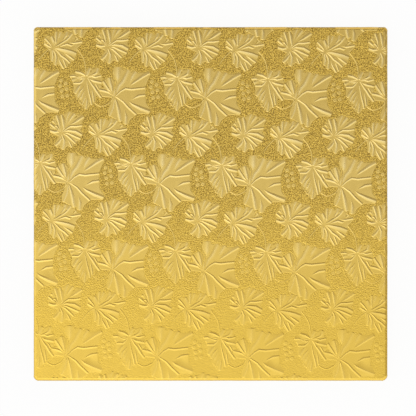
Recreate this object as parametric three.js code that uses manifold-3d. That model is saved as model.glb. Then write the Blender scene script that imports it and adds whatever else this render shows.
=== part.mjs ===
// A square cake board, in millimetres, +Z up, standing on the centre of its underside.
// A fibreboard core is wrapped in one sheet of embossed gold foil, whose edges are turned in
// under the board, and a paper liner is glued over the turned-in edges.
import * as THREE from "three";
import { ConvexGeometry } from "three/addons/geometries/ConvexGeometry.js";
import { mergeVertices } from "three/addons/utils/BufferGeometryUtils.js";
import Module from "manifold-3d";

// Board
const boardSide = 254;
const boardThickness = 12.7; // to the plain ground of the foil, without its relief
const cornerRadii = [4.2, 2.9, 2.8, 3.6]; // front right, back right, back left, front left
const cornerSigns = [[1, -1], [1, 1], [-1, 1], [-1, -1]]; // of x and y, in the same order
const topRoll = 2; // the soft edge where the foil goes over the core
const bottomRoll = 1.4;
const cornerSteps = 3;
const rollSteps = 3;

// Layers
const foilThickness = 0.3;
const linerThickness = 0.25;
const glueLine = 0.1;
const turnIn = 22; // from the board's side to the foil's inner edge, underneath
const tightFold = 0.5; // the least corner radius that a sheet's inner edge has
const mitreGap = 0.5; // between the turned-in flaps, where they meet at each corner
const linerMargin = 8; // from the board's side to the liner's edge
const linerStep = 2.5; // width over which the liner steps off the foil and on to the core

// Pleats that take up the foil round each upright corner
const pleatBearings = [30, 45, 60];
const pleatWidth = 0.7;
const pleatRise = 0.3;

// Embossing: a vine leaf pattern that repeats in half-drop rows
const drawnRepeat = 65.2; // the repeat that the leaves below are drawn for
const repeatWidth = 65.2;
const rowHeight = 62.1;
const sheetTurn = -0.7; // degrees: the sheet lies a little askew on the board
const sheetShift = [-36.5, 14.2]; // the large leaf's stalk, from the board's centre
const relief = 0.45; // rise of a fold's crest over the ground
const bite = 0.05; // how far the relief's foot reaches into the foil
const shoulder = 0.88; // share of a fold's length where it is widest
const crestShare = 0.93; // share of a fold's length where its crest is highest
const stemWidth = 1.1;
const stemRise = 0.25;
const stemSteps = 3;

// Each fold runs from its root to its tip, and spreads to the left and to the right of that line.
const largeLeaf = [
  [[-1.8, 1.2], [-9, 11.6], 0.9, 1.1],
  [[-2.3, 4.5], [-5, 14.2], 1.8, 1.4],
  [[1.6, 9.8], [2.6, 22.2], 3.6, 2.2],
  [[0.5, 2], [9.4, 20], 1.4, 1.8],
  [[9.6, 9.2], [14.4, 18.9], 1.6, 2.8],
  [[9.3, 7.6], [24.7, 17.3], 1.1, 3.8],
  [[0.6, 1.2], [21.6, 6.8], 1.2, 2.8],
  [[11.6, -1.8], [21.6, 1.9], 1.1, 2.6],
  [[9.2, -1.7], [24.6, -10.8], 1, 3],
  [[0.2, 0.2], [15.4, -13], 1, 3],
  [[6.2, -8.4], [7.6, -19.4], 1.6, 1.6],
  [[0, -1.8], [3.8, -17.6], 1.1, 1.7],
  [[-0.8, -2], [-4.2, -14], 1.7, 1.2],
  [[-3.6, 2.6], [-11.4, 4.7], 1, 1],
];
const hangingLeaf = [
  [[-21.8, 13.2], [-32.4, 14.5], 1.5, 1.3],
  [[-22.3, 12.8], [-30.6, 10.6], 1.3, 1.8],
  [[-22.6, 12], [-30.8, 2.2], 1.3, 1.4],
  [[-21.8, 11], [-26.8, -0.7], 1.3, 1],
  [[-21.4, 9], [-24.4, -5.8], 1.3, 1.1],
  [[-19.9, 1], [-21, -9], 1.2, 1.4],
  [[-20.4, 12], [-17.2, -6], 1.3, 1.1],
  [[-20.2, 13.2], [-10.2, -1], 1.4, 1.5],
  [[-14.2, 8.8], [-11.1, 4.4], 0.9, 0.9],
  [[-15.2, 10.8], [-9.7, 10.2], 1, 1.7],
  [[-19.8, 13.8], [-9.7, 14.9], 1, 1.6],
  [[-16.5, 14.8], [-12.1, 20.6], 1.6, 1.1],
  [[-20, 15], [-18.6, 20.8], 1, 1.7],
];
const widespreadLeaf = [
  [[-12, -26.8], [-15, -18.8], 2.2, 1.1],
  [[-13.8, -27.5], [-18.9, -24.3], 1.1, 1.7],
  [[-10.4, -24.6], [-8, -15.6], 1.6, 1.4],
  [[-9, -24.6], [-2.8, -15.9], 1.2, 1.6],
  [[-8.4, -25.3], [2.1, -17], 1, 2.4],
  [[-1.5, -22.2], [6.2, -20.5], 1.3, 1],
  [[-3, -24.2], [9.1, -22.9], 0.9, 1.8],
  [[-10, -27.3], [0.9, -25.1], 1.3, 1.7],
  [[-9, -28], [5.6, -27.7], 1.6, 1.3],
  [[-6, -28.7], [4.2, -30.4], 0.9, 2.8],
  [[-4.6, -30.6], [3, -36], 1.2, 1.8],
  [[-11.6, -28.4], [0.1, -38], 1, 1.3],
  [[-9, -31.4], [-4.4, -41.8], 0.9, 1.1],
  [[-12, -29.4], [-10.1, -39.8], 1, 1.4],
];
const smallLeaf = [
  [[26.4, -25], [23.2, -13.4], 1, 0.9],
  [[28.2, -23.4], [26.4, -12.8], 1.7, 1.1],
  [[29.2, -22.6], [32.9, -10.4], 1.1, 1.3],
  [[29.8, -22.3], [37.8, -12.4], 1.7, 2.1],
  [[31.5, -21.6], [43.2, -14.2], 1.3, 2.7],
  [[31.4, -22.2], [41.8, -20.7], 0.9, 2.6],
  [[34.6, -25.8], [41.4, -26.8], 1.4, 1.4],
  [[31.4, -26.6], [41.4, -30.2], 0.9, 2.4],
  [[27.8, -26.2], [37.3, -34], 0.9, 1.5],
  [[28, -28], [28.2, -38.2], 1.9, 1.4],
  [[27.4, -31.2], [22, -34.8], 1.6, 0.9],
  [[25, -24], [18.8, -18.4], 2.1, 2.1],
  [[24.8, -25], [20.2, -26.8], 1, 1.9],
];
const leaves = [largeLeaf, hangingLeaf, widespreadLeaf, smallLeaf];

// The stems that join the leaves, as points on a smooth curve
const stems = [
  [[5, -28.2], [8, -31.6], [10.2, -36.6], [11.5, -42.6], [11.7, -47]],
  [[-14.8, -4.6], [-10.4, -7.2], [-5.6, -5.8], [-1.6, -0.4]],
  [[-13.8, -28.4], [-18.4, -31.6], [-22.6, -38]],
];

const wasm = await Module();
wasm.setup();

const radians = THREE.MathUtils.degToRad;
const half = boardSide / 2;
const motifScale = repeatWidth / drawnRepeat;

// Heights, from the liner's underside up to the ground of the foil
const foilUnderside = linerThickness + glueLine;
const coreBottom = foilUnderside + foilThickness + glueLine;
const coreTop = boardThickness - foilThickness - glueLine;
const skin = foilThickness + glueLine; // how far the core lies inside the foil's outer face

function solidOf(geometry) {
  const bare = geometry.clone();
  bare.deleteAttribute("normal");
  bare.deleteAttribute("uv");
  const merged = mergeVertices(bare, 1e-4);
  return new wasm.Manifold(
    new wasm.Mesh({
      numProp: 3,
      vertProperties: new Float32Array(merged.attributes.position.array),
      triVerts: new Uint32Array(merged.index.array),
    }),
  );
}

function geometryOf(solid) {
  const mesh = solid.getMesh();
  const geometry = new THREE.BufferGeometry();
  geometry.setAttribute("position", new THREE.BufferAttribute(mesh.vertProperties, 3));
  geometry.setIndex(new THREE.BufferAttribute(mesh.triVerts, 1));
  geometry.computeVertexNormals();
  return geometry;
}

// The board's outline, anticlockwise, drawn in from its side by an inset.
function outline(inset) {
  const points = [];
  cornerRadii.forEach((radius, corner) => {
    const r = Math.max(radius - inset, tightFold);
    const [signX, signY] = cornerSigns[corner];
    const reach = half - inset - r;
    for (let step = 0; step <= cornerSteps; step++) {
      const angle = radians(90 * (corner - 1 + step / cornerSteps));
      points.push([signX * reach + r * Math.cos(angle), signY * reach + r * Math.sin(angle)]);
    }
  });
  return points;
}

// A section of [inset, height] pairs carried round the board, closed by a flat cap at each end.
// The section runs from the lower cap outwards and back in to the upper one.
function carriedRound(section) {
  const rings = section.map(([inset, height]) => outline(inset).map(([x, y]) => [x, y, height]));
  const count = rings[0].length;
  const index = [];
  for (let ring = 0; ring < rings.length - 1; ring++) {
    for (let i = 0; i < count; i++) {
      const [a, b] = [ring * count + i, ring * count + ((i + 1) % count)];
      index.push(a, b, b + count, a, b + count, a + count);
    }
  }
  const last = (rings.length - 1) * count;
  for (let i = 1; i < count - 1; i++) {
    index.push(0, i + 1, i);
    index.push(last, last + i, last + i + 1);
  }
  const geometry = new THREE.BufferGeometry();
  geometry.setAttribute("position", new THREE.Float32BufferAttribute(rings.flat(2), 3));
  geometry.setIndex(index);
  return geometry;
}

// A quarter turn of the section, about a point that lies `radius` in from the face and the level.
function quarterRoll(face, level, radius, from, to) {
  const points = [];
  for (let step = 0; step <= rollSteps; step++) {
    const angle = radians(THREE.MathUtils.lerp(from, to, step / rollSteps));
    points.push([face + radius * (1 - Math.cos(angle)), level + radius * Math.sin(angle)]);
  }
  return points;
}

// The board's profile at a depth under the foil's outer face, from its underside up to its top.
function profile(depth, bottom, top) {
  const low = bottomRoll - depth;
  const high = topRoll - depth;
  return [
    ...quarterRoll(depth, bottom + low, low, -90, 0),
    ...quarterRoll(depth, top - high, high, 0, 90),
  ];
}

function fibreboardCore() {
  return carriedRound(profile(skin, coreBottom, coreTop));
}

// The foil lines the core's profile on the inside, turns its edge, and comes back outside.
function plainWrap() {
  const inner = profile(foilThickness, foilUnderside + foilThickness, boardThickness - foilThickness);
  const outer = profile(0, foilUnderside, boardThickness);
  const edge = [[turnIn, foilUnderside + foilThickness], [turnIn, foilUnderside]];
  return solidOf(carriedRound([...inner.reverse(), ...edge, ...outer]));
}

// Slits along the diagonals, where the turned-in flaps meet
function mitreCutters() {
  const start = bottomRoll + 1;
  const length = (turnIn - start + mitreGap) * Math.SQRT2;
  const depth = 3 * foilThickness;
  return [0, 1, 2, 3].map((quarter) => {
    const slit = new THREE.BoxGeometry(length, mitreGap, depth);
    slit.translate(length / 2, 0, foilUnderside);
    slit.rotateZ(radians(180 + 45));
    slit.translate(half - start, half - start, 0);
    slit.rotateZ(radians(90 * quarter));
    return solidOf(slit);
  });
}

// A point of the drawn pattern, at the size of the repeat and at a height over the ground
function raised(point, height) {
  return new THREE.Vector3(point.x * motifScale, point.y * motifScale, height);
}

// A fold is a low dart: widest at its shoulder, and highest a little before its tip.
function fold([root, tip, left, right]) {
  const [from, to] = [new THREE.Vector2(...root), new THREE.Vector2(...tip)];
  const along = to.clone().sub(from);
  const across = new THREE.Vector2(-along.y, along.x).normalize();
  const widest = from.clone().addScaledVector(along, shoulder);
  const crest = from.clone().addScaledVector(along, crestShare);
  const leftShoulder = widest.clone().addScaledVector(across, left);
  const rightShoulder = widest.clone().addScaledVector(across, -right);
  const foot = [from, leftShoulder, to, rightShoulder].map((p) => raised(p, -bite));
  return solidOf(new ConvexGeometry([...foot, raised(crest, relief)]));
}

// A stem is a three-sided bead, swept along its curve and closed at both ends.
function stem(route) {
  const points = route.map(([x, y]) => raised({ x, y }, 0));
  const path = new THREE.CatmullRomCurve3(points).getSpacedPoints(stemSteps);
  const across = (p, q) => new THREE.Vector3(p.y - q.y, q.x - p.x, 0).setLength(stemWidth / 2);
  const joints = path.map((p, i) => {
    const side = across(path[Math.max(i - 1, 0)], path[Math.min(i + 1, stemSteps)]);
    const [left, right, crest] = [p.clone().add(side), p.clone().sub(side), p.clone()];
    left.z = right.z = -bite;
    crest.z = stemRise;
    return [left, right, crest];
  });
  const links = joints.slice(1).map((joint, i) => solidOf(new ConvexGeometry([...joints[i], ...joint])));
  return wasm.Manifold.union(links);
}

// The relief of one repeat, copied in half-drop rows and cut to the board's flat top
function embossing() {
  const repeat = wasm.Manifold.union([...leaves.flat().map(fold), ...stems.map(stem)]);
  const rows = Math.ceil(half / rowHeight) + 1;
  const columns = Math.ceil(half / repeatWidth) + 1;
  const copies = [];
  for (let row = -rows; row <= rows; row++) {
    for (let column = -columns; column <= columns; column++) {
      const x = (column + (row % 2 ? 0.5 : 0)) * repeatWidth;
      const place = repeat.translate([x, row * rowHeight, 0]).rotate([0, 0, sheetTurn]);
      copies.push(place.translate([...sheetShift, boardThickness]));
    }
  }
  const flat = [[topRoll, boardThickness - 2 * bite], [topRoll, boardThickness + 2 * relief]];
  return wasm.Manifold.union(copies).intersect(solidOf(carriedRound(flat)));
}

// Pleats down each corner, from under the rolled edge to the turn underneath
function cornerPleats() {
  const top = boardThickness - topRoll;
  const bottom = foilUnderside + bottomRoll;
  const pleats = [];
  cornerRadii.forEach((radius, corner) => {
    const [signX, signY] = cornerSigns[corner];
    pleatBearings.forEach((bearing) => {
      const [deep, proud] = [radius - foilThickness / 2, radius + pleatRise];
      const points = [
        new THREE.Vector3(deep, 0, top),
        new THREE.Vector3(deep, -pleatWidth / 2, bottom),
        new THREE.Vector3(deep, pleatWidth / 2, bottom),
        new THREE.Vector3(proud, 0, bottom + pleatRise),
        new THREE.Vector3(radius, 0, top),
      ];
      const pleat = new ConvexGeometry(points);
      pleat.rotateZ(radians(90 * (corner - 1) + bearing));
      pleat.translate(signX * (half - radius), signY * (half - radius), 0);
      pleats.push(solidOf(pleat));
    });
  });
  return pleats;
}

function foilWrap() {
  const wrap = wasm.Manifold.union([plainWrap(), embossing(), ...cornerPleats()]);
  return geometryOf(wasm.Manifold.difference([wrap, ...mitreCutters()]));
}

// The liner lies on the turned-in foil and steps up on to the core inside it.
function baseLiner() {
  const stepUp = foilThickness + glueLine;
  const [stepFrom, stepTo] = [turnIn + glueLine, turnIn + glueLine + linerStep];
  return carriedRound([
    [stepTo, stepUp],
    [stepFrom, 0],
    [linerMargin, 0],
    [linerMargin, linerThickness],
    [stepFrom, linerThickness],
    [stepTo, linerThickness + stepUp],
  ]);
}

const goldFoil = new THREE.MeshStandardMaterial({ color: 0xdcb75a, metalness: 1, roughness: 0.35 });
const whitePaper = new THREE.MeshStandardMaterial({ color: 0xeeece6, metalness: 0, roughness: 0.9 });
const greyBoard = new THREE.MeshStandardMaterial({ color: 0xa89678, metalness: 0, roughness: 0.95 });

const cakeBoard = new THREE.Group();
const layers = [
  ["fibreboard_core", fibreboardCore(), greyBoard],
  ["foil_wrap", foilWrap(), goldFoil],
  ["base_liner", baseLiner(), whitePaper],
];
layers.forEach(([name, geometry, material]) => {
  const mesh = new THREE.Mesh(geometry, material);
  mesh.name = name;
  cakeBoard.add(mesh);
});

export default cakeBoard;
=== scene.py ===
"""A square cake board in embossed gold foil, seen from straight above on white."""

import math

import bmesh
import bpy
import numpy as np
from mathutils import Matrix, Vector
from mathutils.bvhtree import BVHTree
from mathutils.geometry import delaunay_2d_cdt


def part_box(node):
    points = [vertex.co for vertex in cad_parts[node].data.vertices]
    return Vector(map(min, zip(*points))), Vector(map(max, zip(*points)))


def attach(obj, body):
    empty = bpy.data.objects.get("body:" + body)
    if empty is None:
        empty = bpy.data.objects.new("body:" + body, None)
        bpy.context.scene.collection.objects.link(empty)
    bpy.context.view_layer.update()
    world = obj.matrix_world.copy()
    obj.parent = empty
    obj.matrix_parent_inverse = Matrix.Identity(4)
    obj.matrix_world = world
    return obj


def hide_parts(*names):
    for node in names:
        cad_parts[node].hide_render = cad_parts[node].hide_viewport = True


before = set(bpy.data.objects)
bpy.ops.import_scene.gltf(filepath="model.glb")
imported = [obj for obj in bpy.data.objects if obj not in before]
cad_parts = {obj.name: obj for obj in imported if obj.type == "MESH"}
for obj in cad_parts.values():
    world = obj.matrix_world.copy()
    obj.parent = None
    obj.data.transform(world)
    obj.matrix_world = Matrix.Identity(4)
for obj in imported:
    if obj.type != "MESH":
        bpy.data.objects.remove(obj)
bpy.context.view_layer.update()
scene = bpy.context.scene
scene.view_settings.view_transform = "Standard"

# Sizes, in metres
MM = 0.001
foil_low, foil_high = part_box("foil_wrap")
RELIEF = 0.45 * MM  # rise of foil_wrap's highest crest over its plain ground
HALF = foil_high.x
GROUND = foil_high.z - RELIEF
FOIL_UNDERSIDE = foil_low.z
# Each corner's radius, by the signs of its x and y
CORNER_RADII = {(1, -1): 4.2 * MM, (1, 1): 2.9 * MM, (-1, 1): 2.8 * MM, (-1, -1): 3.6 * MM}
TOP_ROLL = 2 * MM
BOTTOM_ROLL = 1.4 * MM
WALL = GROUND - FOIL_UNDERSIDE - TOP_ROLL - BOTTOM_ROLL  # the upright part of the side
QUARTER = math.pi / 2  # the turn of each roll
TURN_IN = 22 * MM
MITRE_GAP = 0.5 * MM
PLEAT_RISE = 0.28 * MM
PLEATS = 4  # at each corner
FADE_OUT = 3 * MM  # the embossing dies away over this last stretch down to the underside
SIDE_RELIEF = 0.45  # how much of the embossing is left on the side, where the foil is pulled tight

# How finely the wrapped border is divided
COLUMN_SPACING = 1.2 * MM
CORNER_STEPS = 12
TOP_ROLL_STEPS = 6
WALL_STEPS = 10
BOTTOM_ROLL_STEPS = 3
FLAP_STEPS = 5
STRAIGHT = -1  # the place round the corner that a column has where it isn't at a corner
NEAR = 1e-5  # points nearer than this become one in a triangulation
TOUCH = 1e-7  # a point this near a line lies on it
AT_COLUMN = 0.001  # a crossing this near a column, as a share of the spacing, is that column

# The photograph's frame, in its own pixels
FRAME_PIXELS = 416
BOARD_PIXELS = 354
BOARD_CENTRE_PIXELS = (210.6, 203.9)

# Embossing: the leaves are drawn in millimetres, x to the right and y up, round the large leaf's
# stalk. Their widths and heights are millimetres too.
REPEAT = np.array([65.17, 0.0])
ROW_STEP = np.array([32.9, -62.05])
ROWS, COLUMNS = range(-4, 5), range(-6, 7)
WRAP = 14  # how much of the sheet is made beyond the board's side
SHEET_TURN = math.radians(-0.82)
SHEET_SHIFT = np.array([-36.5, 14.2])
LIGHT_SIDE = np.array([-0.72, -0.69])  # each fold has its broad flank on this side
CREST, KNEE, WEB, FOOT, STALK = 0.3, 0.12, 0.14, 0.13, 0.12  # heights over the ground
SHIFT = 0.3  # how far a broad flank's middle lies to its own side of the drawn line
BACK = 0.8  # a fold's narrow flank as a share of its broad one, where the fold gives no width for it
WIDEST_BACK = 1.1  # the most that such a narrow flank has
ROOT_WIDTH, FULL_WIDTH_AT = 0.15, 0.6  # a fold's width at its root, and where along it is full
FULL_HEIGHT_AT, TIP_HEIGHT = 0.2, 0.8  # where a fold has its full height, and what its tip keeps
NEAR_STALK = 6  # a fold that starts nearer the stalk than this is led towards it
LED_TO = 0.35  # and then starts at this share of the way
SKIRT = 0.8  # width of the step from a leaf's rim down to the ground
GUARD = 0.35  # width of the flat strip that is kept round each raised shape
CREASE = math.radians(5)  # faces that meet at more than this angle meet at a sharp edge
PRESSED_FROM, PRESSED_OVER = 10, 120  # where the embossing grows shallower towards the front
PRESSED_LOSS = 0.35  # and how much of it is lost in the end

# Colours
LEAF_TONES = (0.75, 0.525, 0.105), (0.8, 0.57, 0.13)
# The ground's tones: the dark one is painted shade in the low dots of its stipple
GROUND_TONES_AND_PIT_SHADE = (0.29, 0.185, 0.033), (0.81, 0.575, 0.12)
# A pale painted highlight on the leaves' crests
CREST_PAINTED_HIGHLIGHT = (1.0, 0.89, 0.52)
# Painted warm light: the front of the board is made brighter and more yellow
FRONT_PAINTED_LIGHT = (0.84, 0.57, 0.07)
PAPER_TONES = (0.80, 0.78, 0.73), (0.87, 0.855, 0.82)
PAPER_FIBRE_TONE = (0.66, 0.62, 0.55)
BOARD_TONES = (0.30, 0.23, 0.15), (0.48, 0.39, 0.27)
FLOOR_TONE = (0.9, 0.9, 0.9)
FLOOR_WHITE = 0.94  # how far the camera sees the floor as plain white
ROOM_TONES = (1.0, 0.82, 0.5), (1.0, 0.99, 0.97)
WHITE = (1.0, 1.0, 1.0)
CREST_HIGHLIGHT_SHARPNESS = 1.6  # how closely the painted highlight keeps to the highest parts
FRONT_PAINTED_LIGHT_SHARE = 0.6  # how much of the painted warm light the front shows

# The foil's fine relief, in millimetres
CURL_HEIGHT, DOT_HEIGHT, GRAIN_HEIGHT, SWAY_HEIGHT = 0.07, 0.7, 0.005, 0.03
CURL_TURNS = 34.0  # how closely the curly lines follow each other

BRIGHT_SIDE = (-0.3, -0.95)  # the side of the room, across the board, that is bright

# A leaf goes clockwise round its rim. A fold is its broad flank's width, a line along that flank
# from root to tip and, where it is wide, the other flank's width. A plain corner of the rim is a
# point alone. Inner folds end short of the rim.
LARGE_LEAF = dict(
    stalk=(-1.1, 0),
    rim=[
        (1.3, [(-1.7, 0.9), (-5, 3.2), (-7.6, 4), (-11.2, 4.7)]),
        (-7.4, 6.6),
        (1.3, [(-1.8, 1.5), (-4.6, 5), (-8.8, 11)]),
        (-7.2, 12.4),
        (2, [(-2.6, 4.6), (-3.2, 7), (-5, 13.6)]),
        (-3, 13.6),
        (-1.2, 11.6),
        (1.3, [(-0.8, 1.5), (-0.5, 3.5), (0.2, 10.4)]),
        (-1.5, 18.3),
        (2.8, [(1.2, 9.8), (0.9, 14), (0.9, 21.4)], 2.3),
        (4.7, 19.6),
        (5.8, 19.1),
        (1.5, [(0.7, 3.5), (2.5, 8.5), (4.8, 11.3), (8.9, 19.6)], 2),
        (11.4, 17.6),
        (1.3, [(10.3, 10.4), (11.6, 14.5), (14.1, 18.6)], 2),
        (21, 17.4),
        (1.1, [(10.7, 8.3), (13, 9.9), (19.8, 14.5), (24.6, 17.2)], 1.8),
        (22.3, 11),
        (1.1, [(0.7, 0.9), (3.9, 4), (7.3, 6), (11.6, 5.5), (21.3, 6.7)]),
        (21.2, 3),
        (1.3, [(11.9, -1.8), (14.8, -0.3), (17.1, 0.8), (21.5, 1.5)]),
        (22, -4),
        (1.9, [(9.6, -2.8), (12.5, -5.4), (18.5, -8.4), (24.6, -10.6)], 1.5),
        (20.3, -11.2),
        (1.1, [(1.2, -0.4), (5.9, -3.5), (9.4, -7.4), (15, -12.4)]),
        (10.9, -15.6),
        (1.4, [(6.9, -8.7), (7.8, -14.4), (7.3, -19.2)], 1.7),
        (1.4, [(0.5, -2.6), (1.2, -5.5), (2.1, -9.4), (2.8, -13.5), (3.7, -17.3)], 1.7),
        (0.7, -15.5),
        (1, [(-0.4, -3), (-1.5, -8), (-3.9, -13.4)]),
        (-4.6, -10),
        (-1.9, -2.6),
        (-2.5, -0.1),
        (-8.7, 0.4),
    ],
    inner=[],
)
HANGING_LEAF = dict(
    stalk=(-20.9, 14),
    rim=[
        (1, [(-23, 14.2), (-26.9, 13.4), (-29.6, 14.5), (-32.4, 14.3)]),
        (-30.8, 15.8),
        (1.3, [(-22, 15.2), (-25, 16.8), (-28.5, 17.6)]),
        (-24.5, 17.8),
        (-21.6, 16.3),
        (1.7, [(-20.6, 15.4), (-20, 17.5), (-18.4, 20.4)]),
        (-16.9, 18.2),
        (1.2, [(-17.5, 15.2), (-15.3, 15.8), (-13.3, 17.2), (-12.4, 20.4)]),
        (-11.9, 17),
        (0.9, [(-19.2, 14.2), (-16.7, 14.6), (-14.4, 13.9), (-10.3, 15)]),
        (-9.5, 12.8),
        (1.3, [(-16.4, 11.4), (-14.9, 11), (-10.2, 10)]),
        (-10.2, 7.6),
        (0.8, [(-14.6, 9.4), (-13.6, 8.2), (-11.9, 5.4)]),
        (-12.4, 3.6),
        (1.1, [(-19.6, 12.9), (-17.1, 9), (-15.1, 6.5), (-13.5, 3.8), (-10.2, -0.5)]),
        (-13.8, 1.2),
        (0.9, [(-16.6, 6), (-16.2, 3), (-15.8, 0.4), (-15.2, -3.8)]),
        (0.9, [(-20.2, 9.3), (-19, 3.4), (-18.3, 0.9), (-17.4, -2.5), (-16.9, -5.6)]),
        (-18.8, -4.6),
        (1.1, [(-20.1, -0.6), (-20.3, -3.6), (-21, -8.7)]),
        (-22.2, -5.8),
        (0.9, [(-20.5, 2.7), (-22.4, -2.6), (-23.7, -5.9)]),
        (-24.2, -3.6),
        (1, [(-21.5, 5.2), (-23.3, 2), (-24.5, -0.7), (-25.5, -3.9)]),
        (-25.8, -1.2),
        (1.1, [(-22.2, 7.5), (-23.7, 5.4), (-25.1, 4), (-26, 2), (-26.8, -0.6)]),
        (-27.7, 1.4),
        (1.7, [(-24.4, 9), (-26.4, 7), (-29, 2.5)]),
        (-29.3, 6.2),
        (1, [(-22.2, 12.9), (-23.7, 10.9), (-25.3, 9.5), (-29.8, 9.4)]),
        (1.8, [(-24, 12.6), (-27, 12.4), (-30.6, 11.2)]),
    ],
    inner=[],
)
WIDESPREAD_LEAF = dict(
    stalk=(-12.7, -27.7),
    rim=[
        (1, [(-14.1, -27.1), (-16.1, -25.9), (-18.3, -24.5)]),
        (-16.4, -23.6),
        (0.9, [(-13.6, -25.7), (-16.1, -22.7), (-18, -20.7)]),
        (-16.9, -19.3),
        (-15.2, -18.7),
        (1.6, [(-11.5, -24.9), (-12.4, -22), (-13.5, -19.4)]),
        (-11.4, -18.8),
        (0.9, [(-10.2, -23.6), (-10.2, -18.8), (-10, -15.9)], 1.2),
        (0.9, [(-9, -22.4), (-7.9, -18.6), (-7.1, -16)], 1.3),
        (-4.6, -17.5),
        (1, [(-6, -22.4), (-4.7, -21.1), (-3.1, -18.8), (-2.4, -15.7)], 1.5),
        (-0.4, -16.6),
        (1, [(-8, -25.3), (-2.5, -21.8), (-0.2, -19.5), (1.7, -17)], 1.6),
        (3, -20.8),
        (1.9, [(2.8, -22.6), (4.8, -19.8)]),
        (6.3, -21.2),
        (1.1, [(-1, -23.4), (3, -24), (8.7, -22.9)]),
        (7.3, -24.9),
        (5, -27.2),
        (2.6, [(-8.5, -28.3), (-4, -29.3), (0, -30.4), (4.1, -31.9)]),
        (1, [(-4.2, -30.8), (-2, -32.5), (0, -33.8), (2.9, -35.8)]),
        (0.9, -36.5),
        (1, [(-10.4, -28.8), (-8.4, -30.6), (-6.1, -33.1), (-2.7, -35.4), (0, -38)]),
        (-1.2, -38.6),
        (0.8, [(-5.4, -34.9), (-4.4, -36.4), (-2.5, -41)]),
        (0.9, [(-8.1, -33.2), (-7.5, -36.5), (-6.1, -39), (-4.3, -42)]),
        (-7.8, -38.6),
        (1, [(-11.6, -29.8), (-10.2, -32), (-9.7, -34.7), (-10.4, -39.6)]),
        (0.9, [(-12.6, -29.4), (-12.1, -33.4), (-12.8, -36.9)]),
        (-13.6, -32),
        (-14.2, -29),
    ],
    inner=[(1.1, [(-8.4, -27), (-5, -25.6), (-2.2, -24.7), (1.2, -25.8)])],
)
SMALL_LEAF = dict(
    stalk=(26.2, -26.5),
    rim=[
        (1.3, [(24.6, -25.6), (22.2, -26), (19, -25)]),
        (20, -23.6),
        (22.2, -23.4),
        (1, [(25, -25), (23.5, -23.4), (21.2, -22), (18.8, -19.9)]),
        (18.6, -18.7),
        (1.3, [(25.4, -24.3), (23.2, -21.6), (20.6, -18)]),
        (22.6, -18.4),
        (23.6, -20.6),
        (0.9, [(26.1, -24.1), (25.1, -19.5), (24.2, -16.8), (23.2, -13.8)], 1.4),
        (25.2, -14.8),
        (1, [(28.6, -22.8), (28.3, -21), (27.6, -16.8), (26.9, -13.4)], 1.7),
        (29.3, -14.4),
        (0.9, [(29.9, -21), (31, -15.7), (31.7, -13.2), (32.7, -11.1)]),
        (1.1, [(31, -19.8), (33.7, -15.2), (35.9, -12.2)], 1.6),
        (38.7, -13.5),
        (38, -15),
        (1.1, [(32.8, -20.6), (36.5, -18.9), (38.7, -17.5), (42.8, -14.7)], 1.6),
        (41.6, -17.6),
        (1, [(28.9, -24.8), (31, -23), (33.4, -21.6), (37.4, -21.6), (41.6, -20.9)]),
        (40.4, -23.6),
        (1.7, [(31.6, -24.7), (37.3, -25.4), (41.4, -27.7)]),
        (1.1, [(31.2, -26.4), (34.9, -28), (40.6, -30.4)]),
        (37.4, -32),
        (1, [(28.2, -26.6), (30.8, -28), (33.7, -30.5), (37, -33.6)]),
        (35.6, -33.9),
        (0.9, [(31.4, -30.9), (33.1, -33.4), (34.5, -36.3)]),
        (31.9, -35.2),
        (30.1, -36.4),
        (1.3, [(27.6, -28.4), (28.9, -31.4), (28.7, -34.5), (27.8, -37.8)]),
        (25.8, -34.6),
        (24.6, -36.8),
        (1.3, [(26.8, -30.4), (25.2, -32.6), (22.7, -35)]),
        (23.4, -32.6),
        (25.6, -28.6),
    ],
    inner=[],
)
LEAVES = [LARGE_LEAF, HANGING_LEAF, WIDESPREAD_LEAF, SMALL_LEAF]
STEMS = [
    [(-14.8, -4.6), (-12.6, -6), (-10.5, -6.9), (-8, -6.5), (-4, -4.4), (-1.9, -1.2)],
    [(5.3, -28.4), (7.6, -31.2), (9.8, -34.5), (11, -38), (11.6, -42), (11.6, -46.5)],
    [(-14, -28.2), (-15.6, -28.8), (-17.9, -30.9), (-19.7, -32.9), (-21.5, -35.2)],
]
STEM_WIDTH, STEM_RISE = 1.1, 0.2
GRAPES = [(26.2, 11.4), (25.7, 7.6), (29.6, 9.3), (26.8, 3.9), (30.3, 5.4), (30.9, 0.6), (27.4, 0)]
GRAPE_RADIUS, GRAPE_RISE, GRAPE_SIDES = 1.8, 0.14, 8
GRAPE_DIMPLE = 0.7  # height of a grape's middle, as a share of its rise
GRAPE_RINGS = ((0.6, 1), (1, 0), (1.2, 0))  # shares of the radius and of the rise


def camera_over_board():
    """A long lens straight above, with the board at the photograph's place and size."""
    camera = bpy.data.cameras.new("camera")
    camera.sensor_width = 36
    distance = 1.6
    view_width = 2 * HALF * FRAME_PIXELS / BOARD_PIXELS
    camera.lens = camera.sensor_width * distance / view_width
    camera.clip_start, camera.clip_end = 0.1, 20
    pixel = 2 * HALF / BOARD_PIXELS
    right, down = (place - FRAME_PIXELS / 2 for place in BOARD_CENTRE_PIXELS)
    holder = bpy.data.objects.new("camera", camera)
    holder.location = (-right * pixel, down * pixel, distance + GROUND)
    scene.collection.objects.link(holder)
    scene.camera = holder


def triangulate(points, edges):
    """Constrained triangulation in plan, with the input points that each output point stands for."""
    flat = [Vector((x, y)) for x, y in points]
    coords, _, faces, origins, _, _ = delaunay_2d_cdt(flat, edges, [], 0, NEAR)
    return [tuple(p) for p in coords], faces, origins


def inside(points, polygon):
    """True for each point that lies inside a closed polygon."""
    x, y = np.asarray(points).T
    result = np.zeros(len(x), bool)
    for (x0, y0), (x1, y1) in zip(polygon, polygon[1:] + polygon[:1]):
        if y0 == y1:
            continue
        crosses = (y0 > y) != (y1 > y)
        result ^= crosses & (x < x0 + (y - y0) * (x1 - x0) / (y1 - y0))
    return result


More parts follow.
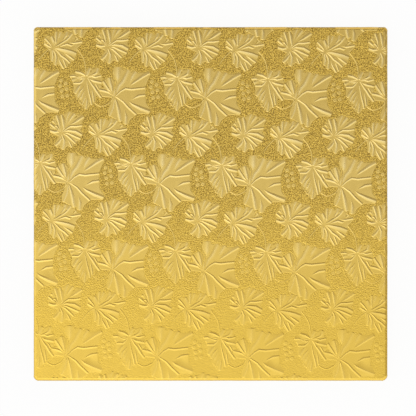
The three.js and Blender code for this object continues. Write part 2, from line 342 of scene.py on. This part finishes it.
def faces_inside(coords, faces, polygon):
    """The faces whose centre lies inside a closed polygon."""
    centres = [np.mean([coords[i] for i in face], 0) for face in faces]
    return [face for face, kept in zip(faces, inside(centres, polygon)) if kept]


def left_normals(line, closed=False):
    """The unit normal on the left of each point of a line."""
    p = np.array(line, float)
    if closed:
        along = np.roll(p, -1, 0) - np.roll(p, 1, 0)
    else:
        along = np.gradient(p, axis=0)
    along /= np.linalg.norm(along, axis=1)[:, None]
    return np.stack([-along[:, 1], along[:, 0]], 1)


def fold_lines(width, centre, back=None):
    """A fold's knee, crest and foot, as points with heights, from root to tip."""
    p = np.array(centre, float)
    back = back or min(BACK * width, WIDEST_BACK)
    share = np.linspace(0, 1, len(p))
    taper = (ROOT_WIDTH + (1 - ROOT_WIDTH) * np.minimum(1, share / FULL_WIDTH_AT))[:, None]
    towards = left_normals(p)
    if np.dot(towards.mean(0), LIGHT_SIDE) < 0:
        towards = -towards
    crest = SHIFT - width / 2
    lines = []
    for offset, full in ((SHIFT + width / 2, KNEE), (crest, CREST), (crest - back, FOOT)):
        heights = STALK + (full - STALK) * np.minimum(1, share / FULL_HEIGHT_AT)
        heights[-1] *= TIP_HEIGHT
        lines.append([(x, y, h) for (x, y), h in zip(p + towards * taper * offset, heights)])
    return lines


def led_to_stalk(centre, stalk):
    """A fold's drawn line, carried on towards the stalk where it starts near it."""
    way = np.array(centre[0], float) - stalk
    if np.linalg.norm(way) > NEAR_STALK:
        return centre
    return [tuple(stalk + way * LED_TO)] + centre


def rim_and_folds(leaf):
    """A leaf's rim and the lines of its folds, as points with heights."""
    lines, rim = [], []
    for entry in leaf["rim"]:
        if isinstance(entry[1], list):
            fold = fold_lines(entry[0], led_to_stalk(entry[1], leaf["stalk"]), *entry[2:])
            lines += fold
            ends = [line[-1] for line in fold]
            ahead = np.subtract(entry[1][-1], entry[1][-2])
            side = np.subtract(ends[0][:2], ends[2][:2])
            broad_first = ahead[0] * side[1] - ahead[1] * side[0] > 0
            rim += ends if broad_first else ends[::-1]
        else:
            rim.append((*entry, WEB))
    for entry in leaf["inner"]:
        lines += fold_lines(*entry)
    return rim, lines


def leaf_patch(leaf):
    """One leaf as triangles with heights, in its drawn place."""
    rim, lines = rim_and_folds(leaf)
    plan = np.array(rim)[:, :2]
    outward = left_normals(plan, closed=True)
    loops = [rim]
    for reach in (SKIRT, SKIRT + GUARD):
        loops.append([(x, y, 0) for x, y in plan + outward * reach])
    points, edges = [(*leaf["stalk"], STALK)], []
    for line in lines:
        first = len(points)
        points += line
        edges += [(first + i, first + i + 1) for i in range(len(line) - 1)]
    for loop in loops:
        first = len(points)
        points += loop
        edges += [(first + i, first + (i + 1) % len(loop)) for i in range(len(loop))]
    coords, faces, origins = triangulate([p[:2] for p in points], edges)
    heights = [max(points[o][2] for o in source) if source else WEB for source in origins]
    faces = faces_inside(coords, faces, [p[:2] for p in loops[-1]])
    return [(*p, h) for p, h in zip(coords, heights)], faces


def stem_patch(route):
    """A low bead along a route."""
    p = np.array(route, float)
    side = left_normals(p)
    count = len(p)
    half = STEM_WIDTH / 2
    rows = ((half + GUARD, 0), (half, 0), (0, STEM_RISE), (-half, 0), (-half - GUARD, 0))
    verts, faces = [], []
    for reach, height in rows:
        verts += [(*q, height) for q in p + side * reach]
    for row in range(len(rows) - 1):
        for i in range(count - 1):
            a = row * count + i
            faces += [(a, a + count, a + 1), (a + 1, a + count, a + count + 1)]
    return verts, faces


def grape_patch(centre):
    """A round low dome with a dimple."""
    verts = [(*centre, GRAPE_RISE * GRAPE_DIMPLE)]
    for share, height in GRAPE_RINGS:
        for k in range(GRAPE_SIDES):
            a = 2 * math.pi * k / GRAPE_SIDES
            x = centre[0] + GRAPE_RADIUS * share * math.cos(a)
            y = centre[1] + GRAPE_RADIUS * share * math.sin(a)
            verts.append((x, y, GRAPE_RISE * height))
    faces = []
    for k in range(GRAPE_SIDES):
        a, b = 1 + k, 1 + (k + 1) % GRAPE_SIDES
        faces.append((0, a, b))
        for _ in GRAPE_RINGS[1:]:
            faces += [(a, a + GRAPE_SIDES, b), (b, a + GRAPE_SIDES, b + GRAPE_SIDES)]
            a, b = a + GRAPE_SIDES, b + GRAPE_SIDES
    return verts, faces


def pressed(y):
    """The share of the full relief at a distance up the board."""
    t = np.clip((PRESSED_FROM - y) / PRESSED_OVER, 0, 1)
    return 1 - PRESSED_LOSS * t * t * (3 - 2 * t)


def sheet_patches():
    """Every copy of the pattern that reaches the board, in metres from the board's centre."""
    drawn = [leaf_patch(leaf) for leaf in LEAVES]
    drawn += [stem_patch(route) for route in STEMS]
    drawn += [grape_patch(centre) for centre in GRAPES]
    cos, sin = math.cos(SHEET_TURN), math.sin(SHEET_TURN)
    turn = np.array([[cos, -sin], [sin, cos]])
    reach = HALF / MM + WRAP
    patches = []
    for row in ROWS:
        for column in COLUMNS:
            for verts, faces in drawn:
                v = np.array(verts, float)
                plan = (v[:, :2] + column * REPEAT + row * ROW_STEP) @ turn.T + SHEET_SHIFT
                if (np.abs(plan).min(0) > reach).any() or (np.abs(plan) > reach).any(1).all():
                    continue
                height = v[:, 2] * pressed(plan[:, 1])
                patches.append((np.column_stack([plan, height]) * MM, faces))
    return patches


class Sheet:
    """The flat embossed sheet, before it is wrapped."""

    def __init__(self):
        self.patches = sheet_patches()
        verts, faces = [], []
        for points, triangles in self.patches:
            first = len(verts)
            verts += [Vector(p) for p in points]
            faces += [[first + i for i in t] for t in triangles]
        self.tree = BVHTree.FromPolygons(verts, faces)

    def height(self, u, v):
        """The relief at a place on the sheet: that of the highest patch there."""
        above = 10 * MM
        hit = self.tree.ray_cast(Vector((u, v, above)), Vector((0, 0, -1)), above)[0]
        return max(hit.z, 0) if hit else 0.0


def corner_reach(u, v):
    """The corner's radius, and how far a sheet point lies beyond the centre of its round."""
    radius = CORNER_RADII[(1 if u > 0 else -1, 1 if v > 0 else -1)]
    return radius, abs(u) - (HALF - radius), abs(v) - (HALF - radius)


def section(radius, along):
    """Place across and up, and the outward direction, on a section from a round's centre out.

    The section runs flat, over the top roll, down the side and round the bottom roll."""
    flat = radius - TOP_ROLL
    rest = along - flat
    if rest <= 0:
        return along, GROUND, 0.0, 1.0
    if rest <= TOP_ROLL * QUARTER:
        a = rest / TOP_ROLL
        across = flat + TOP_ROLL * math.sin(a)
        return across, GROUND - TOP_ROLL * (1 - math.cos(a)), math.sin(a), math.cos(a)
    rest -= TOP_ROLL * QUARTER
    if rest <= WALL:
        return radius, GROUND - TOP_ROLL - rest, 1.0, 0.0
    a = min((rest - WALL) / BOTTOM_ROLL, QUARTER)
    across = radius - BOTTOM_ROLL * (1 - math.cos(a))
    return across, FOIL_UNDERSIDE + BOTTOM_ROLL * (1 - math.sin(a)), math.cos(a), -math.sin(a)


def on_board(u, v, height):
    """A sheet point's place on the wrapped board."""
    radius, du, dv = corner_reach(u, v)
    out = Vector((max(du, 0), max(dv, 0)))
    along = out.length
    if along == 0:
        return Vector((u, v, GROUND + height))
    out /= along
    across, z, side, up = section(radius, along)
    reach = across + side * height
    x = min(abs(u), HALF - radius) + out.x * reach
    y = min(abs(v), HALF - radius) + out.y * reach
    return Vector((math.copysign(x, u), math.copysign(y, v), z + up * height))


def border_columns():
    """Where the sheet's border runs, going round the board.

    Each column is a start on the flat, a direction outward, the length from that start to the
    board's side and a place round the corner from 0 to 1."""
    columns = []
    corners = [(1, -1), (1, 1), (-1, 1), (-1, -1)]
    for number, signs in enumerate(corners):
        radius = CORNER_RADII[signs]
        centre = Vector((signs[0] * (HALF - radius), signs[1] * (HALF - radius)))
        for step in range(CORNER_STEPS + 1):
            a = math.radians(90 * (number - 1 + step / CORNER_STEPS))
            out = Vector((math.cos(a), math.sin(a)))
            columns.append((centre, out, radius, step / CORNER_STEPS))
        following = corners[(number + 1) % 4]
        next_radius = CORNER_RADII[following]
        end = Vector((following[0] * (HALF - next_radius), following[1] * (HALF - next_radius)))
        ahead = Vector((-out.y, out.x))
        length = (end - centre).dot(ahead)
        count = round(length / COLUMN_SPACING)
        for step in range(1, count):
            columns.append((centre + ahead * (length * (step / count)), out, radius, STRAIGHT))
    return columns


def flat_end(column):
    """Where a column leaves the flat field."""
    base, out, radius, _ = column
    return base + out * (radius - TOP_ROLL)


def with_crossings(columns, coords):
    """The border's columns, with one more wherever a crease crosses the border of the flat field."""
    border = [Vector(p) for p in coords if abs(max(map(abs, p)) - (HALF - TOP_ROLL)) < TOUCH]
    result = []
    for column, following in zip(columns, columns[1:] + columns[:1]):
        result.append(column)
        _, out, radius, _ = column
        start = flat_end(column)
        ahead = flat_end(following) - start
        crossings = []
        for p in border:
            along = (p - start).dot(ahead) / ahead.length_squared
            if AT_COLUMN < along < 1 - AT_COLUMN and (p - start - ahead * along).length < TOUCH:
                crossings.append((along, p))
        for _, p in sorted(crossings, key=lambda crossing: crossing[0]):
            result.append((p - out * (radius - TOP_ROLL), out, radius, STRAIGHT))
    return result


def pleat(share, along, radius):
    """How far the gathered foil stands off a round, by its place round it and down the side."""
    start = radius - TOP_ROLL
    ease = min(max((along - start) / (TOP_ROLL * 2), 0), 1)
    return PLEAT_RISE * ease * abs(math.sin(math.pi * share * PLEATS))


def flat_field(sheet, columns):
    """The flat field inside the rolled border, and the border's columns to match it.

    The field is given as its points, their relief and its faces."""
    field, heights = [], []
    for column in columns:
        p = flat_end(column)
        field.append((p.x, p.y))
        heights.append(sheet.height(p.x, p.y))
    points = list(field)
    edges = [(i, (i + 1) % len(field)) for i in range(len(field))]
    for verts, faces in sheet.patches:
        if (np.abs(verts[:, :2]).min(0) > HALF).any():
            continue
        first = len(points)
        points += [tuple(p) for p in verts[:, :2]]
        heights += list(verts[:, 2])
        edges += {tuple(sorted((first + f[k], first + f[(k + 1) % 3]))) for f in faces for k in range(3)}
    coords, faces, origins = triangulate(points, edges)
    relief = []
    for (x, y), source in zip(coords, origins):
        known = max((heights[o] for o in source), default=0)
        relief.append(max(sheet.height(x, y), known))
    verts = [Vector((x, y, GROUND + h)) for (x, y), h in zip(coords, relief)]
    return verts, relief, faces_inside(coords, faces, field), with_crossings(columns, coords)


def add_band(sheet, columns, verts, relief, faces):
    """Adds the rolled edges and the side, and gives the lowest point of each column."""
    steps = [TOP_ROLL * QUARTER * k / TOP_ROLL_STEPS for k in range(TOP_ROLL_STEPS + 1)]
    steps += [steps[-1] + WALL * k / WALL_STEPS for k in range(1, WALL_STEPS + 1)]
    under = BOTTOM_ROLL * QUARTER
    steps += [steps[-1] + under * k / BOTTOM_ROLL_STEPS for k in range(1, BOTTOM_ROLL_STEPS + 1)]
    first = len(verts)
    for base, out, radius, share in columns:
        for step in steps:
            along = radius - TOP_ROLL + step
            p = base + out * along
            fade = SIDE_RELIEF + (1 - SIDE_RELIEF) * max(0, 1 - step / (TOP_ROLL * QUARTER))
            fade *= min(1, (steps[-1] - step) / FADE_OUT)
            h = sheet.height(p.x, p.y) * fade
            if share != STRAIGHT:
                h = h * (1 - math.sin(math.pi * share)) + pleat(share, along, radius)
            verts.append(on_board(base.x + out.x * along, base.y + out.y * along, h))
            relief.append(h)
    rows, count = len(steps), len(columns)
    for c in range(count):
        a, b = first + c * rows, first + (c + 1) % count * rows
        faces += [(a + r, a + r + 1, b + r + 1, b + r) for r in range(rows - 1)]
    return [first + c * rows + rows - 1 for c in range(count)]


def add_flaps(columns, lowest, verts, relief, faces):
    """Adds the turned-in flaps underneath, mitred at the corners."""
    reach = TURN_IN - BOTTOM_ROLL
    insets = [reach * k / FLAP_STEPS for k in range(1, FLAP_STEPS + 1)]
    rows = []
    for (base, out, radius, share), edge in zip(columns, lowest):
        if share == STRAIGHT:
            limit = HALF - abs(base.dot(Vector((-out.y, out.x)))) - MITRE_GAP / 2
        else:
            limit = radius
        row = [edge]
        for inset in insets:
            depth = max(min(inset, limit - BOTTOM_ROLL), 0)
            row.append(len(verts))
            verts.append(verts[edge] - Vector((out.x, out.y, 0)) * depth)
            relief.append(0.0)
        rows.append(row)
    for a, b in zip(rows, rows[1:] + rows[:1]):
        faces += [(a[k], a[k + 1], b[k + 1], b[k]) for k in range(FLAP_STEPS)]


def foil_mesh():
    """The wrapped foil as one mesh, with its relief as an attribute."""
    sheet = Sheet()
    verts, relief, faces, columns = flat_field(sheet, border_columns())
    lowest = add_band(sheet, columns, verts, relief, faces)
    add_flaps(columns, lowest, verts, relief, faces)
    mesh = bpy.data.meshes.new("embossed_foil")
    mesh.from_pydata([tuple(v) for v in verts], [], faces)
    attribute = mesh.attributes.new("relief", "FLOAT", "POINT")
    attribute.data.foreach_set("value", [h / RELIEF for h in relief])
    return mesh


def clean(mesh):
    """Joins points that lie on each other, drops faces without area and marks the sharp edges."""
    work = bmesh.new()
    work.from_mesh(mesh)
    bmesh.ops.remove_doubles(work, verts=work.verts, dist=2e-6)
    bmesh.ops.dissolve_degenerate(work, edges=work.edges, dist=1e-6)
    bmesh.ops.delete(work, geom=[v for v in work.verts if not v.link_faces], context="VERTS")
    bmesh.ops.recalc_face_normals(work, faces=work.faces)
    for face in work.faces:
        face.smooth = True
    for edge in work.edges:
        edge.smooth = edge.calc_face_angle(0) < CREASE
    work.to_mesh(mesh)
    work.free()


class Nodes:
    """Short calls for building a material's or the world's nodes."""

    def __init__(self, tree):
        self.tree = tree
        tree.nodes.clear()

    def feed(self, socket, value):
        """Links a socket to another, or sets its value."""
        if isinstance(value, bpy.types.NodeSocket):
            self.tree.links.new(value, socket)
        else:
            socket.default_value = value

    def add(self, kind, settings=None, **inputs):
        """A new node. Base_Color feeds the socket of that name, and i0 feeds the first socket."""
        node = self.tree.nodes.new(kind)
        for name, value in (settings or {}).items():
            setattr(node, name, value)
        for name, value in inputs.items():
            key = int(name[1:]) if name[1:].isdigit() else name.replace("_", " ")
            self.feed(node.inputs[key], value)
        return node

    def math(self, operation, a, b=0.0, clamp=False):
        """The result of a sum on sockets or numbers."""
        node = self.add("ShaderNodeMath", dict(operation=operation, use_clamp=clamp), i0=a, i1=b)
        return node.outputs[0]

    def noise(self, where, scale, detail=2.0, distortion=0.0):
        """Soft noise from 0 to 1, with its scale in waves to the metre."""
        node = self.add("ShaderNodeTexNoise", Vector=where, Scale=scale, Detail=detail,
                        Distortion=distortion)
        return node.outputs["Fac"]

    def ramp(self, value, start, end, low=0.0, high=1.0, kind="LINEAR"):
        """Low where the value is at start, and high where it is at end."""
        node = self.add("ShaderNodeMapRange", dict(interpolation_type=kind), Value=value,
                        From_Min=start, From_Max=end, To_Min=low, To_Max=high)
        return node.outputs[0]

    def mix(self, share, a, b):
        """A mix of two colours."""
        node = self.add("ShaderNodeMix", dict(data_type="RGBA"))
        self.feed(node.inputs["Factor"], share)
        for name, value in (("A", a), ("B", b)):
            socket = next(s for s in node.inputs if s.name == name and s.type == "RGBA")
            self.feed(socket, value if isinstance(value, bpy.types.NodeSocket) else (*value, 1))
        return next(s for s in node.outputs if s.type == "RGBA")

    def bump(self, height, distance, strength):
        """The normal of a surface with fine relief."""
        return self.add("ShaderNodeBump", Strength=strength, Distance=distance, Height=height).outputs[0]


def material(name):
    """A new material and its nodes."""
    made = bpy.data.materials.new(name)
    made.use_nodes = True
    return made, Nodes(made.node_tree)


def gold_foil():
    """Lacquered foil: smooth on the leaves, and covered in fine curly lines on the ground, with painted
    shade in its pits, a painted highlight on the crests and painted warm light at the front.
    """
    made, n = material("gold_foil")
    place = n.add("ShaderNodeTexCoord").outputs["Object"]
    y = n.add("ShaderNodeSeparateXYZ", Vector=place).outputs[1]
    front = n.ramp(y, start=0.03, end=-0.1, kind="SMOOTHSTEP")
    relief = n.add("ShaderNodeAttribute", dict(attribute_name="relief")).outputs["Fac"]
    off_leaf = n.ramp(relief, start=0.0, end=0.125, low=1.0, high=0.0)
    rough_part = n.ramp(front, start=0.0, end=1.0, low=1.0, high=0.1)
    ground = n.math("MULTIPLY", off_leaf, rough_part)

    swirl = n.noise(place, scale=260.0, detail=1.0, distortion=1.2)
    lines = n.math("SINE", n.math("MULTIPLY", swirl, CURL_TURNS))
    curls = n.math("MULTIPLY", lines, CURL_HEIGHT)
    speckle = n.noise(place, scale=1250.0, detail=1.0)
    dots = n.math("MULTIPLY", speckle, DOT_HEIGHT)
    stipple = n.math("MULTIPLY", n.math("ADD", curls, dots), ground)
    grain = n.math("MULTIPLY", n.noise(place, scale=1500.0), GRAIN_HEIGHT)
    sway = n.math("MULTIPLY", n.noise(place, scale=130.0), SWAY_HEIGHT)
    height = n.math("ADD", n.math("ADD", stipple, grain), sway)

    tone = n.mix(n.noise(place, scale=35.0, detail=4.0), *LEAF_TONES)
    # Painted shade: the ground is darkened where its stipple dots are low, less towards the front
    ground_and_pit_shade = n.mix(n.ramp(speckle, start=0.35, end=0.6), *GROUND_TONES_AND_PIT_SHADE)
    tone = n.mix(ground, tone, ground_and_pit_shade)
    # Painted highlight: paler where the relief is highest
    tone = n.mix(n.math("POWER", relief, CREST_HIGHLIGHT_SHARPNESS, clamp=True), tone, CREST_PAINTED_HIGHLIGHT)
    # Painted light: the front is made warmer and brighter
    tone = n.mix(n.math("MULTIPLY", front, FRONT_PAINTED_LIGHT_SHARE), tone, FRONT_PAINTED_LIGHT)
    patchy = n.noise(place, scale=60.0, detail=3.0)
    roughness = n.ramp(patchy, start=0.0, end=1.0, low=0.22, high=0.3)
    shader = n.add("ShaderNodeBsdfPrincipled", Metallic=1.0, Coat_Weight=0.2, Coat_Roughness=0.15,
                   Base_Color=tone, Roughness=roughness,
                   Normal=n.bump(height, distance=MM, strength=1.0))
    n.add("ShaderNodeOutputMaterial", Surface=shader.outputs[0])
    return made


def white_paper():
    """Uncoated liner paper with short fibres."""
    made, n = material("liner_paper")
    place = n.add("ShaderNodeTexCoord").outputs["Object"]
    stretched = n.add("ShaderNodeMapping", Vector=place, Scale=(1.0, 3.0, 1.0)).outputs[0]
    fibre = n.noise(stretched, scale=900.0, detail=5.0, distortion=0.8)
    tone = n.mix(n.noise(place, scale=40.0, detail=3.0), *PAPER_TONES)
    strands = n.math("POWER", fibre, 6.0, clamp=True)
    tone = n.mix(strands, tone, PAPER_FIBRE_TONE)
    shader = n.add("ShaderNodeBsdfPrincipled", Base_Color=tone, Roughness=0.85,
                   Normal=n.bump(fibre, distance=0.05 * MM, strength=0.6))
    n.add("ShaderNodeOutputMaterial", Surface=shader.outputs[0])
    return made


def brown_board():
    """Pressed fibreboard."""
    made, n = material("fibreboard")
    place = n.add("ShaderNodeTexCoord").outputs["Object"]
    fibre = n.noise(place, scale=700.0, detail=6.0, distortion=1.0)
    tone = n.mix(fibre, *BOARD_TONES)
    shader = n.add("ShaderNodeBsdfPrincipled", Base_Color=tone, Roughness=0.95,
                   Normal=n.bump(fibre, distance=0.1 * MM, strength=0.8))
    n.add("ShaderNodeOutputMaterial", Surface=shader.outputs[0])
    return made


def floor():
    """A white floor with some of the board's shadow, open under the board and clear from below."""
    reach, opening, level = 4, HALF - 3 * MM, -0.1 * MM
    corners = [(1, -1), (1, 1), (-1, 1), (-1, -1)]
    verts = [(x * size, y * size, level) for size in (reach, opening) for x, y in corners]
    faces = [(k, (k + 1) % 4, 4 + (k + 1) % 4, 4 + k) for k in range(4)]
    mesh = bpy.data.meshes.new("floor")
    mesh.from_pydata(verts, [], faces)
    plane = bpy.data.objects.new("floor", mesh)
    scene.collection.objects.link(plane)
    made, n = material("floor")
    paper = n.add("ShaderNodeBsdfDiffuse", Color=(*FLOOR_TONE, 1))
    white = n.add("ShaderNodeEmission", Color=(*WHITE, 1), Strength=1.0)
    seen = n.math("MULTIPLY", n.add("ShaderNodeLightPath").outputs["Is Camera Ray"], FLOOR_WHITE)
    above = n.add("ShaderNodeMixShader", Fac=seen, i1=paper.outputs[0], i2=white.outputs[0])
    behind = n.add("ShaderNodeNewGeometry").outputs["Backfacing"]
    clear = n.add("ShaderNodeBsdfTransparent")
    sided = n.add("ShaderNodeMixShader", Fac=behind, i1=above.outputs[0], i2=clear.outputs[0])
    n.add("ShaderNodeOutputMaterial", Surface=sided.outputs[0])
    plane.data.materials.append(made)


def studio():
    """A white room: a bright ceiling, a dim gap over the board's far side and a wall beyond."""
    world = bpy.data.worlds.new("studio")
    scene.world = world
    world.use_nodes = True
    n = Nodes(world.node_tree)
    way = n.add("ShaderNodeTexCoord").outputs["Generated"]
    x, y, _ = n.add("ShaderNodeSeparateXYZ", Vector=way).outputs
    right, up = (n.math("MULTIPLY", part, share) for part, share in zip((x, y), BRIGHT_SIDE))
    lean = n.math("ADD", right, up)
    ceiling = n.ramp(lean, start=-0.3, end=0.2, low=0.34, high=1.17, kind="SMOOTHSTEP")
    wall = n.ramp(lean, start=-0.42, end=-0.62, low=0.0, high=0.6, kind="SMOOTHSTEP")
    room = n.math("ADD", ceiling, wall)
    camera = n.add("ShaderNodeLightPath").outputs["Is Camera Ray"]
    strength = n.add("ShaderNodeMix", dict(data_type="FLOAT"), i0=camera, i2=room, i3=1.0)
    tint = n.mix(ceiling, *ROOM_TONES)
    seen = n.mix(camera, tint, WHITE)
    background = n.add("ShaderNodeBackground", Color=seen, Strength=strength.outputs[0])
    n.add("ShaderNodeOutputWorld", Surface=background.outputs[0])


def lamp(name, place, size, power):
    """A square lamp that faces the board's centre."""
    light = bpy.data.lights.new(name, "AREA")
    light.size = size
    light.energy = power
    holder = bpy.data.objects.new(name, light)
    holder.location = place
    holder.rotation_euler = (-Vector(place)).to_track_quat("-Z", "Y").to_euler()
    scene.collection.objects.link(holder)


camera_over_board()
floor()
studio()
lamp("key", place=(-0.35, -0.6, 1.3), size=0.6, power=0.5)

foil = bpy.data.objects.new("embossed_foil", foil_mesh())
scene.collection.objects.link(foil)
clean(foil.data)
foil.data.materials.append(gold_foil())
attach(foil, "root")
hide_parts("foil_wrap")

for node, made in (("base_liner", white_paper()), ("fibreboard_core", brown_board())):
    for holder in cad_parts[node].material_slots:
        holder.material = made
